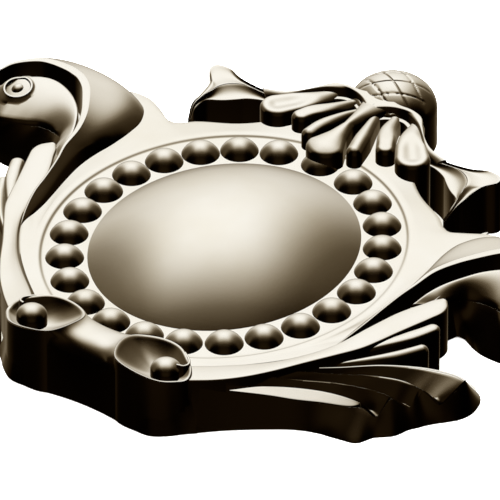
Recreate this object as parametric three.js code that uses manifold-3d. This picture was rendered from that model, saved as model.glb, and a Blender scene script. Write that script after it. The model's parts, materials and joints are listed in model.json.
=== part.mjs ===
// A cast cartouche: an oval boss in a ring of beads on a scrolled frame, lying on its flat back.
// X runs across it, Y towards its crest and Z away from the back. It is one solid, alike on both sides.
import * as THREE from 'three';
import { mergeVertices } from 'three/addons/utils/BufferGeometryUtils.js';
import Module from 'manifold-3d';

// Levels above the flat back, in millimetres
const frameLevel = 24;
const footLevel = 3;
const foldFall = 12.5;
const overlap = 1.5;
const joinTolerance = 0.06;
const shortEdge = 0.03;
const thinFace = 0.01;
const sliverPasses = 12;
const bluntTip = 0.02;

// Half the width over the volutes, and the reach from the middle of the boss to the lower edge
const halfSpan = 174;
const reachDown = 126;

// Ring of beads
const ringHalfWidth = 76.8;
const ringHalfHeight = 85.4;
const beadPlaces = 25;
const beadRadius = 9.8;
const beadRise = 5.9;

// Oval boss
const bossGap = 1.3;
const bossHalfWidth = ringHalfWidth - beadRadius - bossGap;
const bossHalfHeight = ringHalfHeight - beadRadius - bossGap;
const bossRise = 23.5;

// Flat frame round the ring
const fieldDrop = 0.8;
const fieldRing = 0.8;
const shoulderInset = 11;
const shoulderWidth = 3;
const shoulderRise = 0.3;
const frameFall = 1.6;

// Side volutes
const rimRise = 12.5;
const rimWidth = 5;
const thinRim = 1;
const rimLap = 0.5;
const flankDrop = 2.5;
const rollDepth = 10;
const eyeCentre = [157, 49];
const eyeRadius = 5.5;
const eyeRise = 8;
const eyeCrown = 2;

// Lower scrolls
const scrollCentre = [34, -108];
const scrollRadius = 19.5;
const scrollRise = 10;
const scrollLip = 2.6;
const scrollDepth = 8;
const knobCentre = [40, -107];
const knobRadius = 6;
const knobCrown = 3;
const saddleHalfWidth = 15;
const saddleRise = 11;

// Crest
const lobeRise = 11.5;
const hoodRise = 10.5;

// Cone behind the crest
const coneRadius = 23;
const coneCentre = 151;
const coneShoulder = 21;
const coneCap = 16;
const lozengesRound = 28;
const lozengesUp = 7;
const lozengeDepth = 0.9;

// Free curves are drawn in the proportions of a sheet: where the ring's outer edge and the overall size lie on it
const sheet = { ringX: 86.6, spanX: 174, ringY: 95.2, downY: 126, upY: 151 };

const wasm = await Module();
wasm.setup();

const blend = (a, b, t) => a + (b - a) * t;
const smooth = (t) => { const c = Math.min(Math.max(t, 0), 1); return c * c * (3 - 2 * c); };

// From the sheet to the part: up to the ring's outer edge a place follows the ring, and beyond it the rest.
function placed([x, y, z = 0]) {
  const stretch = (drawn, ringDrawn, endDrawn, ringSize, end) => (drawn <= ringDrawn
    ? drawn * ringSize / ringDrawn : blend(ringSize, end, (drawn - ringDrawn) / (endDrawn - ringDrawn)));
  const [endDrawn, end] = y < 0 ? [sheet.downY, reachDown] : [sheet.upY, coneCentre];
  return [
    Math.sign(x) * stretch(Math.abs(x), sheet.ringX, sheet.spanX, ringHalfWidth + beadRadius, halfSpan),
    Math.sign(y) * stretch(Math.abs(y), sheet.ringY, endDrawn, ringHalfHeight + beadRadius, end), z];
}

// A curve through a few places on the sheet, as a function from 0 to 1 that gives [x, y, z].
function through(points, closed = false) {
  const knots = points.map((point) => new THREE.Vector3(...placed(point)));
  const curve = new THREE.CatmullRomCurve3(knots, closed, 'centripetal');
  return (s) => curve.getPointAt(Math.min(Math.max(s, 0), 1)).toArray();
}

// The direction in which a curve runs at s, seen from above.
function heading(path, s) {
  const [ahead, behind] = [path(Math.min(s + 0.01, 1)), path(Math.max(s - 0.01, 0))];
  const run = Math.hypot(ahead[0] - behind[0], ahead[1] - behind[1]);
  return [(ahead[0] - behind[0]) / run, (ahead[1] - behind[1]) / run];
}

// The value at s along a row of equally spaced values.
function between(values, s) {
  const k = Math.min(Math.floor(s * (values.length - 1)), values.length - 2);
  return blend(values[k], values[k + 1], s * (values.length - 1) - k);
}

// A closed solid from raw triangles, turned outwards whichever way they were listed.
function solid(positions, index) {
  const geometry = new THREE.BufferGeometry();
  geometry.setAttribute('position', new THREE.Float32BufferAttribute(positions, 3));
  geometry.setIndex(index);
  const merged = mergeVertices(geometry, 1e-4);
  const place = merged.getAttribute('position').array;
  const kept = [];
  let volume = 0;
  for (let i = 0; i < index.length; i += 3) {
    const [a, b, c] = [0, 1, 2].map((k) => merged.index.array[i + k]);
    if (a === b || b === c || c === a) continue;
    kept.push(a, b, c);
    const [p, q, r] = [a, b, c].map((n) => new THREE.Vector3(...place.slice(3 * n, 3 * n + 3)));
    volume += p.dot(q.cross(r));
  }
  if (volume < 0) kept.reverse();
  return new wasm.Manifold(new wasm.Mesh({
    numProp: 3, vertProperties: new Float32Array(place), triVerts: new Uint32Array(kept),
  }));
}

// The solid under a face: point(s, t) gives [x, y, z] on it, and its walls drop straight to the floor.
// A round face closes on itself along s, and t runs from its middle to its edge.
function under(across, along, point, { round = false, floor = footLevel - overlap } = {}) {
  const columns = round ? across : across + 1;
  const rows = along + 1;
  const positions = [];
  const index = [];
  for (const low of [false, true]) {
    for (let j = 0; j < rows; j++) {
      for (let i = 0; i < columns; i++) {
        const [x, y, z] = point(i / across, j / along);
        positions.push(x, y, low ? floor : z);
      }
    }
  }
  const at = (i, j, low) => (low ? rows * columns : 0) + j * columns + (i % columns);
  const quad = (a, b, c, d) => index.push(a, b, c, a, c, d);
  for (let j = 0; j < along; j++) {
    for (let i = 0; i < across; i++) {
      const face = [at(i, j, 0), at(i + 1, j, 0), at(i + 1, j + 1, 0), at(i, j + 1, 0)];
      if ((i + j) % 2 === 0) face.push(face.shift());
      quad(...face);
      quad(at(i, j, 1), at(i, j + 1, 1), at(i + 1, j + 1, 1), at(i + 1, j, 1));
    }
  }
  for (let i = 0; i < across; i++) {
    quad(at(i, along, 0), at(i + 1, along, 0), at(i + 1, along, 1), at(i, along, 1));
    quad(at(i, 0, 0), at(i, 0, 1), at(i + 1, 0, 1), at(i + 1, 0, 0));
  }
  if (!round) {
    for (let j = 0; j < along; j++) {
      quad(at(0, j, 0), at(0, j + 1, 0), at(0, j + 1, 1), at(0, j, 1));
      quad(at(across, j, 0), at(across, j, 1), at(across, j + 1, 1), at(across, j + 1, 0));
    }
  }
  return solid(positions, index);
}

// A form made on the right side and again as its mirror image on the left.
const onBothSides = (make) => [1, -1].flatMap((side) => make(side));

// A band between two curves, whose rise across it goes by its own profile from 0 to 1 and back.
function band(side, outer, inner, steps, profile, across = 4) {
  const [from, to] = [through(outer), through(inner)];
  return under(steps, across, (s, t) => {
    const [a, b] = [from(s), to(s)];
    return [side * blend(a[0], b[0], t), blend(a[1], b[1], t), frameLevel + profile(s, t, a[2], b[2])];
  });
}

// A lobe along a curve: widths across it at each point, with a rounded back and a round far end.
function lobe(side, spine, widths, steps, { crown = 1.5, across = 4, end = 0.25 } = {}) {
  const path = through(spine);
  return under(steps, across, (s, t) => {
    const [x, y, z] = path(s);
    const [dx, dy] = heading(path, s);
    const tip = s > 1 - end ? Math.sqrt(Math.max(1 - ((s - 1 + end) / end) ** 2, bluntTip)) : 1;
    const offset = (t - 0.5) * 2 * between(widths, s) * tip;
    const drop = crown * (2 * t - 1) ** 2;
    return [side * (x - dy * offset), y + dx * offset, frameLevel + z - drop];
  });
}

// A flat solid with the given outline on the right side and its mirror image on the left.
function slab(rightSide, level) {
  const leftSide = rightSide.filter(([x]) => x > 0).reverse().map(([x, y]) => [-x, y]);
  const shape = new THREE.Shape([...rightSide, ...leftSide].map(([x, y]) => new THREE.Vector2(x, y)));
  const geometry = new THREE.ExtrudeGeometry(shape, { depth: level, bevelEnabled: false });
  geometry.deleteAttribute('normal');
  geometry.deleteAttribute('uv');
  const merged = mergeVertices(geometry, 1e-4);
  return solid([...merged.getAttribute('position').array], [...merged.index.array]);
}

// Points at equal steps along a curve through the given ones.
const rounded = (points, count) => {
  const curve = through(points);
  return Array.from({ length: count + 1 }, (_, i) => curve(i / count).slice(0, 2));
};

// The foot: the outline that lies on the back plane, from the bottom round the side to the crest.
function foot() {
  const front = rounded([[0, -122], [22, -125], [42, -126], [58, -112], [80, -91], [104, -77], [130, -72],
    [138, -62], [146, -52], [156, -35], [164, -20], [161, -5], [154, 0]], 30);
  const side = rounded([[126, 1], [123, 12], [117, 24], [123, 30], [133, 26], [150, 24]], 10);
  const volute = rounded([[168, 32], [173, 45], [173.5, 58], [166, 76], [148, 86.5], [130, 89]], 12);
  const crest = rounded([[106, 88.5], [92, 82], [85, 77], [79, 83], [80, 96], [87, 118]], 10);
  const neck = rounded([[60, 118], [40, 128], [26, 142]], 5);
  return slab([...front, ...side, ...volute, ...crest, ...neck, [0, 150]], footLevel);
}

// The flat frame: a sunk field for the beads, a soft shoulder and a face that falls a little outwards.
function frame() {
  const edge = through([[0, -103], [40, -100], [71, -82], [89, -58], [99, -38], [101, -20], [102, 0], [103, 20],
    [102, 40], [101, 60], [122, 84], [105, 86.5], [93.5, 81], [86, 76.5], [79, 80], [72, 86], [56, 94], [45, 104],
    [33, 122], [14, 133], [0, 135]]);
  const rings = [0, fieldRing, 1, 1 + shoulderInset / ringHalfWidth,
    1 + (shoulderInset + shoulderWidth) / ringHalfWidth];
  const levels = [-fieldDrop, -fieldDrop, -fieldDrop, -fieldDrop, shoulderRise];
  return [under(76, rings.length, (s, t) => {
    const side = s <= 0.5 ? 1 : -1;
    const climb = side > 0 ? 2 * s : 2 - 2 * s;
    const k = Math.round(t * rings.length);
    const [x, y] = edge(climb);
    if (k === rings.length) return [side * x, y, frameLevel - frameFall];
    const angle = Math.PI * (climb - 0.5);
    const [rx, ry] = [ringHalfWidth * rings[k] * Math.cos(angle), ringHalfHeight * rings[k] * Math.sin(angle)];
    return [side * rx, ry, frameLevel + levels[k]];
  }, { round: true })];
}

// The boss is a low cap over an oval.
function boss() {
  const mean = (bossHalfWidth + bossHalfHeight) / 2;
  const steep = bossRise / mean;
  const ball = (1 + steep * steep) / (2 * steep);
  return under(44, 7, (s, t) => {
    const angle = 2 * Math.PI * s;
    const reach = Math.sin(t * Math.PI / 2);
    const rise = mean * (Math.sqrt(ball * ball - reach * reach) - (ball - steep));
    return [bossHalfWidth * reach * Math.cos(angle), bossHalfHeight * reach * Math.sin(angle),
      frameLevel - fieldDrop + rise];
  }, { round: true, floor: frameLevel - overlap });
}

// Beads at equal steps round the oval ring, the first of them at its top.
function beads() {
  const fine = 720;
  const ring = Array.from({ length: fine + 1 }, (_, i) => {
    const angle = Math.PI / 2 + 2 * Math.PI * i / fine;
    return [ringHalfWidth * Math.cos(angle), ringHalfHeight * Math.sin(angle)];
  });
  const lengths = [0];
  for (let i = 1; i <= fine; i++) {
    lengths.push(lengths[i - 1] + Math.hypot(ring[i][0] - ring[i - 1][0], ring[i][1] - ring[i - 1][1]));
  }
  const ball = (beadRadius ** 2 + beadRise ** 2) / (2 * beadRise);
  const opening = Math.asin(beadRadius / ball);
  return Array.from({ length: beadPlaces }, (_, n) => {
    const want = lengths[fine] * n / beadPlaces;
    const [x, y] = ring[lengths.findIndex((length) => length >= want)];
    return under(10, 3, (s, t) => {
      const [turn, lean] = [2 * Math.PI * s, opening * t];
      const reach = ball * Math.sin(lean);
      return [x + reach * Math.cos(turn), y + reach * Math.sin(turn),
        frameLevel - fieldDrop + beadRise - ball * (1 - Math.cos(lean))];
    }, { round: true, floor: frameLevel - overlap });
  });
}

// A round button, whose top falls by its crown to the edge.
function button(side, centre, radius, rise, crown, floor) {
  const [x, y] = placed(centre);
  return under(14, 3, (s, t) => {
    const turn = 2 * Math.PI * s;
    return [side * (x + radius * t * Math.cos(turn)), y + radius * t * Math.sin(turn),
      frameLevel + rise - crown * t * t];
  }, { round: true, floor });
}

// The side volute: a flank that climbs from the frame to a flat rim, and a roll that curls in to an eye.
const rimOuter = [[88.5, -50, 0.8], [93, -42.5, 1.2], [97.3, -31, 4], [99.6, -22, 6.2], [101, -12, 7.6],
  [103.3, 4, 9.8], [105.3, 14, 11.5], [107, 28, rimRise], [113, 44.5, rimRise], [123, 60.5, rimRise],
  [131, 68, rimRise], [142, 71.5, rimRise], [151.5, 71, rimRise], [158.5, 68.5, rimRise],
  [164.5, 63, rimRise], [169, 56, rimRise], [170, 49, rimRise]];

function volute(side) {
  const flankFoot = [[85, -49], [90, -35], [94.5, -18], [97, 2], [98.5, 18], [97, 32], [94, 44], [93, 60],
    [98, 75], [112, 83], [131, 87], [148, 85], [164, 75], [172, 63], [174, 48]];
  const flank = band(side, flankFoot, rimOuter, 24, (s, t, low, high) =>
    blend(-flankDrop, high, 0.5 * (1 - (1 - t) ** 5) + 0.5 * t));
  const path = through(rimOuter);
  const rim = under(24, 1, (s, t) => {
    const [x, y, z] = path(s);
    const [dx, dy] = heading(path, s);
    const wide = blend(thinRim, rimWidth, smooth((s - 0.3) / 0.3));
    const inward = t * (wide + rimLap) - rimLap;
    return [side * (x + dy * inward), y - dx * inward, frameLevel + z];
  });
  const rollOuter = [[108, 20, 1], [112, 32, 3], [120, 46, 4], [131, 58, 4.5], [143, 64.5, 4.5],
    [156, 63, 4.5], [164, 54, 4.5]];
  const rollInner = [[118, 20, -2], [124, 26, -2], [131, 30, -2], [142, 31, -2], [152, 31, -2], [161, 34, -2],
    [168, 42, -2]];
  const roll = band(side, rollOuter, rollInner, 14, (s, t, high, low) =>
    blend(high, low, smooth(t * 1.1)) + 1.2 * Math.sin(Math.PI * t) - rollDepth * smooth((t - 0.8) / 0.2), 6);
  const bed = band(side, [[104, 10, 2], [111, 34, 1], [122, 54, 1], [142, 66, 1], [158, 64, 1], [166, 52, 1]],
    [[120, 24, -4], [124, 26, -4], [133, 30, -4], [150, 30, -4], [160, 34, -4], [168, 44, -4]], 12,
    (s, t, high, low) => blend(high, low, t));
  return [flank, rim, bed, roll, button(side, eyeCentre, eyeRadius, eyeRise, eyeCrown)];
}

// Two narrow flutes that fan out from the frame beside the ribbon.
function flutes(side) {
  return [
    lobe(side, [[92, -46, 0], [108, -26, 1.5], [118, -10, 2], [127, 3, 2]], [3, 3.8, 4, 4], 8, { end: 0.15 }),
    lobe(side, [[92, -48, -1], [110, -34, -1.5], [121, -20, -2], [130, -7, -3]], [3, 3.5, 4, 4], 8,
      { end: 0.15 }),
  ];
}

// The ribbon from the lower scroll up along the frame, which ends beside the volute as a broad flute.
function ribbon(side) {
  const outer = [[55, -109, 5], [74, -88, 3], [92, -60, 2.5], [108, -36, 3], [115.5, -14.5, 3], [123, 5, 3],
    [125, 13, 3], [122.5, 20, 2.5], [118.5, 23, 2]];
  const inner = [[50, -99, 4], [67, -81, 1], [85, -59, 1], [95.5, -40, 2], [101.5, -23, 3], [107, -4, 3],
    [111, 8, 3], [114, 15, 3], [116, 21.5, 2]];
  return [band(side, outer, inner, 18, (s, t, high, low) => blend(high, low, t) + 0.8 * Math.sin(Math.PI * t))];
}

// Four folds that fall from the frame to the foot, each with a sharp ridge along its back.
function folds(side) {
  const ridges = [
    [[98, -42, -1], [118, -28, -5], [138, -17, -8.5], [157, -13, -12.5]],
    [[92, -52, -1], [116, -38, -6], [134, -31, -9.5], [151.5, -31, -13.5]],
    [[82, -65, -1], [106, -52, -6], [126, -46, -10], [143.5, -50, -14]],
    [[59, -99, -1], [84, -82, -3], [106, -67, -8.5], [126, -60, -13]],
  ];
  return ridges.map((ridge) => lobe(side, ridge, [2, 9, 12, 12], 8, { crown: 10, end: 0.2 }));
}

// The apron: its face falls from under the folds to the outline on the back plane.
function apron(side) {
  const outer = [[56, -114, 0], [70, -101, 0], [88, -86, 0], [104, -77, 0], [120, -73.5, 0], [132, -71, 0],
    [137, -62, 0], [146, -52, 0], [156, -35, 0], [163.5, -20, 0], [160, -4, 0], [150, -0.5, 0]];
  const inner = [[50, -100, 0], [64, -88, 0], [80, -72, 0], [96, -62, 0], [112, -58, 0], [122, -56, 0],
    [128, -50, 0], [135, -40, 0], [142, -28, 0], [148, -22, 0], [146, -16, 0], [138, -14, 0]];
  return [band(side, outer, inner, 22, (s, t) =>
    blend(footLevel - frameLevel, -foldFall, t), 3)];
}

// The lower scroll: a hollow with a raised lip that dips to the back, and a knob in it.
function scroll(side) {
  const lip = through([[55.5, -110, 5], [47, -121, 8.5], [33, -125.5, 12], [20, -122, 14], [13.5, -111, 13],
    [14, -100, 11.5], [20, -94, 10], [30, -91.5, 10], [39, -93, 10], [48, -99, 9], [55.5, -110, 5]]);
  const [cx, cy] = placed(scrollCentre);
  const dish = under(28, 6, (s, t) => {
    const [x, y, z] = lip(s);
    const wall = 1 - scrollLip / scrollRadius;
    const fall = t < wall ? scrollDepth * Math.cos(Math.PI / 2 * t / wall) : 0;
    return [side * blend(cx, x, t), blend(cy, y, t), frameLevel + blend(scrollRise, z, t) - fall];
  }, { round: true });
  return [dish, button(side, knobCentre, knobRadius, scrollRise, knobCrown, frameLevel - overlap)];
}

// The saddle that joins the two lower scrolls swells towards its front.
function saddle() {
  return under(10, 6, (s, t) => {
    const x = blend(-saddleHalfWidth, saddleHalfWidth, s);
    const wide = Math.abs(x) / saddleHalfWidth;
    const [, back] = placed([0, blend(-98.5, -96.5, wide)]);
    const [, front] = placed([0, blend(-122, -122.6, wide)]);
    const swell = Math.sqrt(1 - ((t - 0.6) / 0.75) ** 2);
    return [x, blend(back, front, t), frameLevel + saddleRise * swell];
  });
}

// The crest: a middle lobe, three lobes and a hood on each side, and a leaf that points outwards.
function crest() {
  const middle = lobe(1, [[0, 138, hoodRise - 1], [0, 118, lobeRise], [0, 104, lobeRise], [0, 82.5, lobeRise]],
    [9, 4, 6, 10], 12, { crown: 1.5, end: 0.24 });
  const sides = onBothSides((side) => [
    lobe(side, [[4, 128, 7], [9, 116, 10], [12, 97, lobeRise]], [3, 3.5, 5], 8, { crown: 2.5, end: 0.3 }),
    lobe(side, [[13, 134, 6], [18, 121, 9], [24, 106, 10.5]], [4, 4.5, 5.5], 8, { crown: 2, end: 0.3 }),
    lobe(side, [[23, 137, 6.6], [31, 122, 8.5], [41, 101, 9.5]], [5, 7, 9.5], 8, { crown: 2, end: 0.3 }),
    band(side, [[-1, 143, 10], [12, 140, 10.5], [24, 137.5, 10], [35, 127, 8], [44, 120.5, 7.5], [54, 116.5, 7.5],
      [64, 117, 7]], [[-1, 117, 10], [2, 129, 10], [7, 133, 10], [16, 134.5, 9.5], [26, 129, 8], [34, 121.5, 7],
      [50, 113, 5]], 14, (s, t, high, low) => blend(high, low, t) + 0.6 * Math.sin(Math.PI * t)),
    band(side, [[50, 118, 7], [62, 116, 7], [72, 119, 7], [82, 122, 7], [88, 119, 7], [86, 113.5, 6], [83, 108, 5.5],
      [81, 97, 5]], [[48, 114, 5], [59, 113, 6], [65, 113, 6.5], [69, 111, 6.5], [73, 108, 6.5], [75, 104.5, 6.5],
      [76, 100, 6.5], [78, 95, 5]], 12, (s, t, high, low) => blend(high, low, t) - 1.2 * Math.sin(Math.PI * t), 3),
    band(side, [[45, 119, 4], [58, 115.3, 6], [66, 114.2, 6.3], [71, 112, 6.3], [75, 108.5, 6.3], [77, 104.5, 6.3],
      [78, 99, 6]], [[43, 113, 3], [53, 111, 3.5], [60, 107.5, 3.5], [65, 103.5, 3.5], [70, 99.5, 3.5],
      [75, 96.5, 3.5], [79, 93, 4]], 12, (s, t, high, low) => blend(high, low, t), 2),
  ]);
  return [middle, ...sides];
}

// The cone: an upright drum with a rounded cap that crossing grooves cut into lozenges.
function cone() {
  return [under(lozengesRound, lozengesUp, (s, t) => {
    const turn = 2 * Math.PI * s;
    const lean = t * Math.PI / 2;
    const reach = coneRadius * Math.sin(lean);
    const sunk = t > 0 && t < 1 ? (Math.round(s * lozengesRound) + Math.round(t * lozengesUp)) % 2 : 0;
    return [reach * Math.cos(turn), coneCentre + reach * Math.sin(turn),
      coneShoulder + coneCap * Math.cos(lean) - lozengeDepth * sunk];
  }, { round: true })];
}

function cartouche() {
  const pieces = [foot(), ...frame(), boss(), ...beads(), ...onBothSides(volute), ...onBothSides(flutes),
    ...onBothSides(ribbon), ...onBothSides(apron),
    ...onBothSides(folds), ...onBothSides(scroll), saddle(), ...crest(), ...cone()];
  return pieces.reduce((whole, piece) => whole.add(piece));
}

// The triangles of the outer skin alone: a casting has no sealed pores where its forms meet.
function outerSkin(triangles, count) {
  const parent = Int32Array.from({ length: count }, (_, i) => i);
  const root = (a) => {
    while (parent[a] !== a) a = parent[a] = parent[parent[a]];
    return a;
  };
  for (let i = 0; i < triangles.length; i += 3) {
    parent[root(triangles[i])] = root(triangles[i + 1]);
    parent[root(triangles[i + 2])] = root(triangles[i + 1]);
  }
  const skins = new Map();
  for (let i = 0; i < triangles.length; i += 3) {
    const key = root(triangles[i]);
    if (!skins.has(key)) skins.set(key, []);
    skins.get(key).push(...triangles.slice(i, i + 3));
  }
  return [...skins.values()].reduce((large, skin) => (skin.length > large.length ? skin : large));
}

// Where forms cross, the join leaves faces thinner than a hair. Each pass draws the two ends of a very
// short edge together, or turns the long edge of a very thin face across to its neighbour.
function withoutSlivers(place, triangles) {
  const count = place.length / 3;
  const corner = (n) => new THREE.Vector3(place[3 * n], place[3 * n + 1], place[3 * n + 2]);
  const height = (a, b, c) => {
    const [p, q, r] = [corner(a), corner(b), corner(c)];
    const longest = Math.max(p.distanceTo(q), q.distanceTo(r), r.distanceTo(p));
    return q.sub(p).cross(r.sub(p)).length() / longest;
  };
  let faces = [];
  for (let i = 0; i < triangles.length; i += 3) faces.push([...triangles.slice(i, i + 3)]);
  for (let pass = 0; pass < sliverPasses; pass++) {
    const owner = new Map();
    const around = new Map();
    faces.forEach((face, f) => face.forEach((a, k) => {
      owner.set(a * count + face[(k + 1) % 3], f);
      if (!around.has(a)) around.set(a, new Set());
      around.get(a).add(face[(k + 1) % 3]).add(face[(k + 2) % 3]);
    }));
    const busy = new Set();
    const renamed = new Map();
    const free = (...corners) => corners.every((a) => !busy.has(a));
    faces.forEach((face) => face.forEach((a, k) => {
      const b = face[(k + 1) % 3];
      if (corner(a).distanceTo(corner(b)) > shortEdge) return;
      const shared = [...around.get(a)].filter((c) => around.get(b).has(c));
      if (shared.length !== 2 || !free(a, b, ...around.get(a), ...around.get(b))) return;
      [a, b, ...around.get(a), ...around.get(b)].forEach((c) => busy.add(c));
      renamed.set(b, a);
    }));
    faces.forEach((face, f) => {
      if (!free(...face) || height(...face) > thinFace) return;
      const sides = [0, 1, 2].map((k) => corner(face[k]).distanceTo(corner(face[(k + 1) % 3])));
      const k = sides.indexOf(Math.max(...sides));
      const [a, b, c] = [face[k], face[(k + 1) % 3], face[(k + 2) % 3]];
      const other = owner.get(b * count + a);
      const d = faces[other].find((n) => n !== a && n !== b);
      if (!free(d) || around.get(c).has(d)) return;
      if (Math.min(height(c, d, b), height(d, c, a)) <= height(...face)) return;
      [a, b, c, d].forEach((n) => busy.add(n));
      faces[f] = [a, d, c];
      faces[other] = [d, b, c];
    });
    faces = faces.map((face) => face.map((n) => renamed.get(n) ?? n))
      .filter(([a, b, c]) => a !== b && b !== c && c !== a);
    if (busy.size === 0) break;
  }
  return faces.flat();
}

function meshOf(manifold, name, material) {
  const { vertProperties, triVerts } = manifold.simplify(joinTolerance).getMesh();
  const skin = outerSkin(triVerts, vertProperties.length / 3);
  const geometry = new THREE.BufferGeometry();
  geometry.setAttribute('position', new THREE.BufferAttribute(vertProperties, 3));
  geometry.setIndex(withoutSlivers(vertProperties, skin));
  geometry.computeVertexNormals();
  const mesh = new THREE.Mesh(geometry, material);
  mesh.name = name;
  return mesh;
}

const paleBronze = new THREE.MeshStandardMaterial({ color: 0xcbc0a4, roughness: 0.28, metalness: 1 });
const group = new THREE.Group();
group.add(meshOf(cartouche(), 'cartouche', paleBronze));

export default group;
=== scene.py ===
import json
import math

import bmesh
import bpy
import numpy as np
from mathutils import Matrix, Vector

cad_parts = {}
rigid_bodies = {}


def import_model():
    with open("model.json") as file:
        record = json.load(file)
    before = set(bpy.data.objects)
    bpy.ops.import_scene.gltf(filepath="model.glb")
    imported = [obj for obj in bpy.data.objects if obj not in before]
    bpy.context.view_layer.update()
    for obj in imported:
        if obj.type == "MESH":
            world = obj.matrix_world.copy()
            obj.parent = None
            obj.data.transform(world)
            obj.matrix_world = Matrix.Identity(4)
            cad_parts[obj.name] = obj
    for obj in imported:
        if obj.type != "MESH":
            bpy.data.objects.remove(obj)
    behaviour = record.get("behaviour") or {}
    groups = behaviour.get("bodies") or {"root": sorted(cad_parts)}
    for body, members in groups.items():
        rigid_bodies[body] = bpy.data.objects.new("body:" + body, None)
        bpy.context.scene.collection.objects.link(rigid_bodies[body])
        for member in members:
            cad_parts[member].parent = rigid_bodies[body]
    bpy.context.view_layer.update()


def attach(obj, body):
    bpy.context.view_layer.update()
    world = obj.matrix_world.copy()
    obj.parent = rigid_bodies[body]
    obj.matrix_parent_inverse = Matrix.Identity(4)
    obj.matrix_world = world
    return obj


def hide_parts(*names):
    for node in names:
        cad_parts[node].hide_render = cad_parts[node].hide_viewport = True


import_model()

print("stage: frame loaded")

# Every place below is in millimetres from the middle of the flat back: x across, y towards the crest,
# z out. Heights in the lists are counted from the top of the frame, which lies plateTop above the back.
plateTop = 24.0
footLine = 0.1 - plateTop  # where walls that lean out meet the back plane
rootDepth = 3.0  # how far a form that stands on the frame reaches down into it
metre = 0.001
curveCuts = 24
mergeDigits = 5
# a lip is never wider than its share of a strip's width or of a lobe's half width
lipShape = {"steps": 4, "stripShare": 0.45, "lobeShare": 0.6, "leastWidth": 1e-3}


def smoothCurve(points, count, closed=False):
    # Centripetal Catmull-Rom: each stretch blends straight lines through its four nearest points,
    # and the whole is cut again into equal steps along its length. Rows of six hold two edges side by side.
    p = np.asarray(points, float)
    if p.shape[1] == 2:
        p = np.hstack([p, np.zeros((len(p), 1))])
    if closed:
        q = np.vstack([p[-1:], p, p[:2]])
    else:
        q = np.vstack([2 * p[:1] - p[1:2], p, 2 * p[-1:] - p[-2:-1]])
    t = np.concatenate([[0.0], np.cumsum(np.sqrt(np.linalg.norm(np.diff(q, axis=0), axis=1)))])
    i = np.arange(len(q) - 3)[:, None]
    t0, t1, t2, t3 = t[i], t[i + 1], t[i + 2], t[i + 3]
    x = t1 + (t2 - t1) * np.linspace(0, 1, curveCuts, endpoint=False)

    def mix(a, b, ta, tb):
        w = ((x - ta) / (tb - ta))[..., None]
        return a * (1 - w) + b * w

    q0, q1, q2, q3 = (q[i + k] for k in range(4))
    a1, a2, a3 = mix(q0, q1, t0, t1), mix(q1, q2, t1, t2), mix(q2, q3, t2, t3)
    b1, b2 = mix(a1, a2, t0, t2), mix(a2, a3, t1, t3)
    fine = np.vstack([mix(b1, b2, t1, t2).reshape(-1, p.shape[1]), p[:1] if closed else p[-1:]])
    run = np.concatenate([[0.0], np.cumsum(np.linalg.norm(np.diff(fine, axis=0), axis=1))])
    place = np.linspace(0, run[-1], count)
    return np.stack([np.interp(place, run, column) for column in fine.T], axis=1)


def ease(t):
    # 0 before 0, 1 after 1, and 3tt - 2ttt between.
    c = np.clip(t, 0, 1)
    return c * c * (3 - 2 * c)


def sideways(path):
    # The unit vector to the left of a path, seen from above: its tangent turned by a right angle.
    d = np.gradient(path[:, :2], axis=0)
    d /= np.linalg.norm(d, axis=1, keepdims=True)
    return np.stack([-d[:, 1], d[:, 0]], axis=1)


def shellOf(top, ringed=False, floor=0.0):
    # The closed shell under a face: the grid top[row, column], straight walls down from its border, and one
    # flat face on the floor. Corners in one place are merged and flat triangles dropped.
    rows, columns = top.shape[:2]
    grid = np.arange(rows * columns).reshape(rows, columns)
    if ringed:
        border = grid[-1, ::-1]
        grid = np.hstack([grid, grid[:, :1]])
    else:
        border = np.concatenate([grid[0, :-1], grid[:-1, -1], grid[-1, :0:-1], grid[:0:-1, 0]])
    low = top.reshape(-1, 3)[border]
    low[:, 2] = floor
    places = np.vstack([top.reshape(-1, 3), low])
    under = rows * columns + np.arange(len(border))
    upper = np.stack([grid[:-1, :-1], grid[:-1, 1:], grid[1:, 1:], grid[1:, :-1]], -1).reshape(-1, 4)
    walls = np.stack([np.roll(border, -1), border, under, np.roll(under, -1)], -1)
    quads = np.vstack([upper, walls])
    triangles = np.vstack([quads[:, [0, 1, 2]], quads[:, [0, 2, 3]]])
    kept, where = np.unique(np.round(places, mergeDigits), axis=0, return_inverse=True)
    where = where.reshape(-1)
    triangles = where[triangles]
    a, b, c = triangles.T
    triangles = triangles[(a != b) & (b != c) & (c != a)]
    base = where[under[::-1]]
    base = base[base != np.roll(base, 1)]
    corner = kept[triangles] - [0, 0, floor]
    volume = np.einsum("ij,ij->i", corner[:, 0], np.cross(corner[:, 1], corner[:, 2])).sum()
    if volume < 0:
        triangles, base = triangles[:, ::-1], base[::-1]
    return kept, triangles, base


def mirrored(shell):
    # The same shell on the other side: x is turned over, and the faces with it.
    places, triangles, base = shell
    return places * [-1, 1, 1], triangles[:, ::-1], base[::-1]


def both(shells):
    # Shells of the right side, and their mirror images.
    return [*shells, *[mirrored(shell) for shell in shells]]


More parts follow.
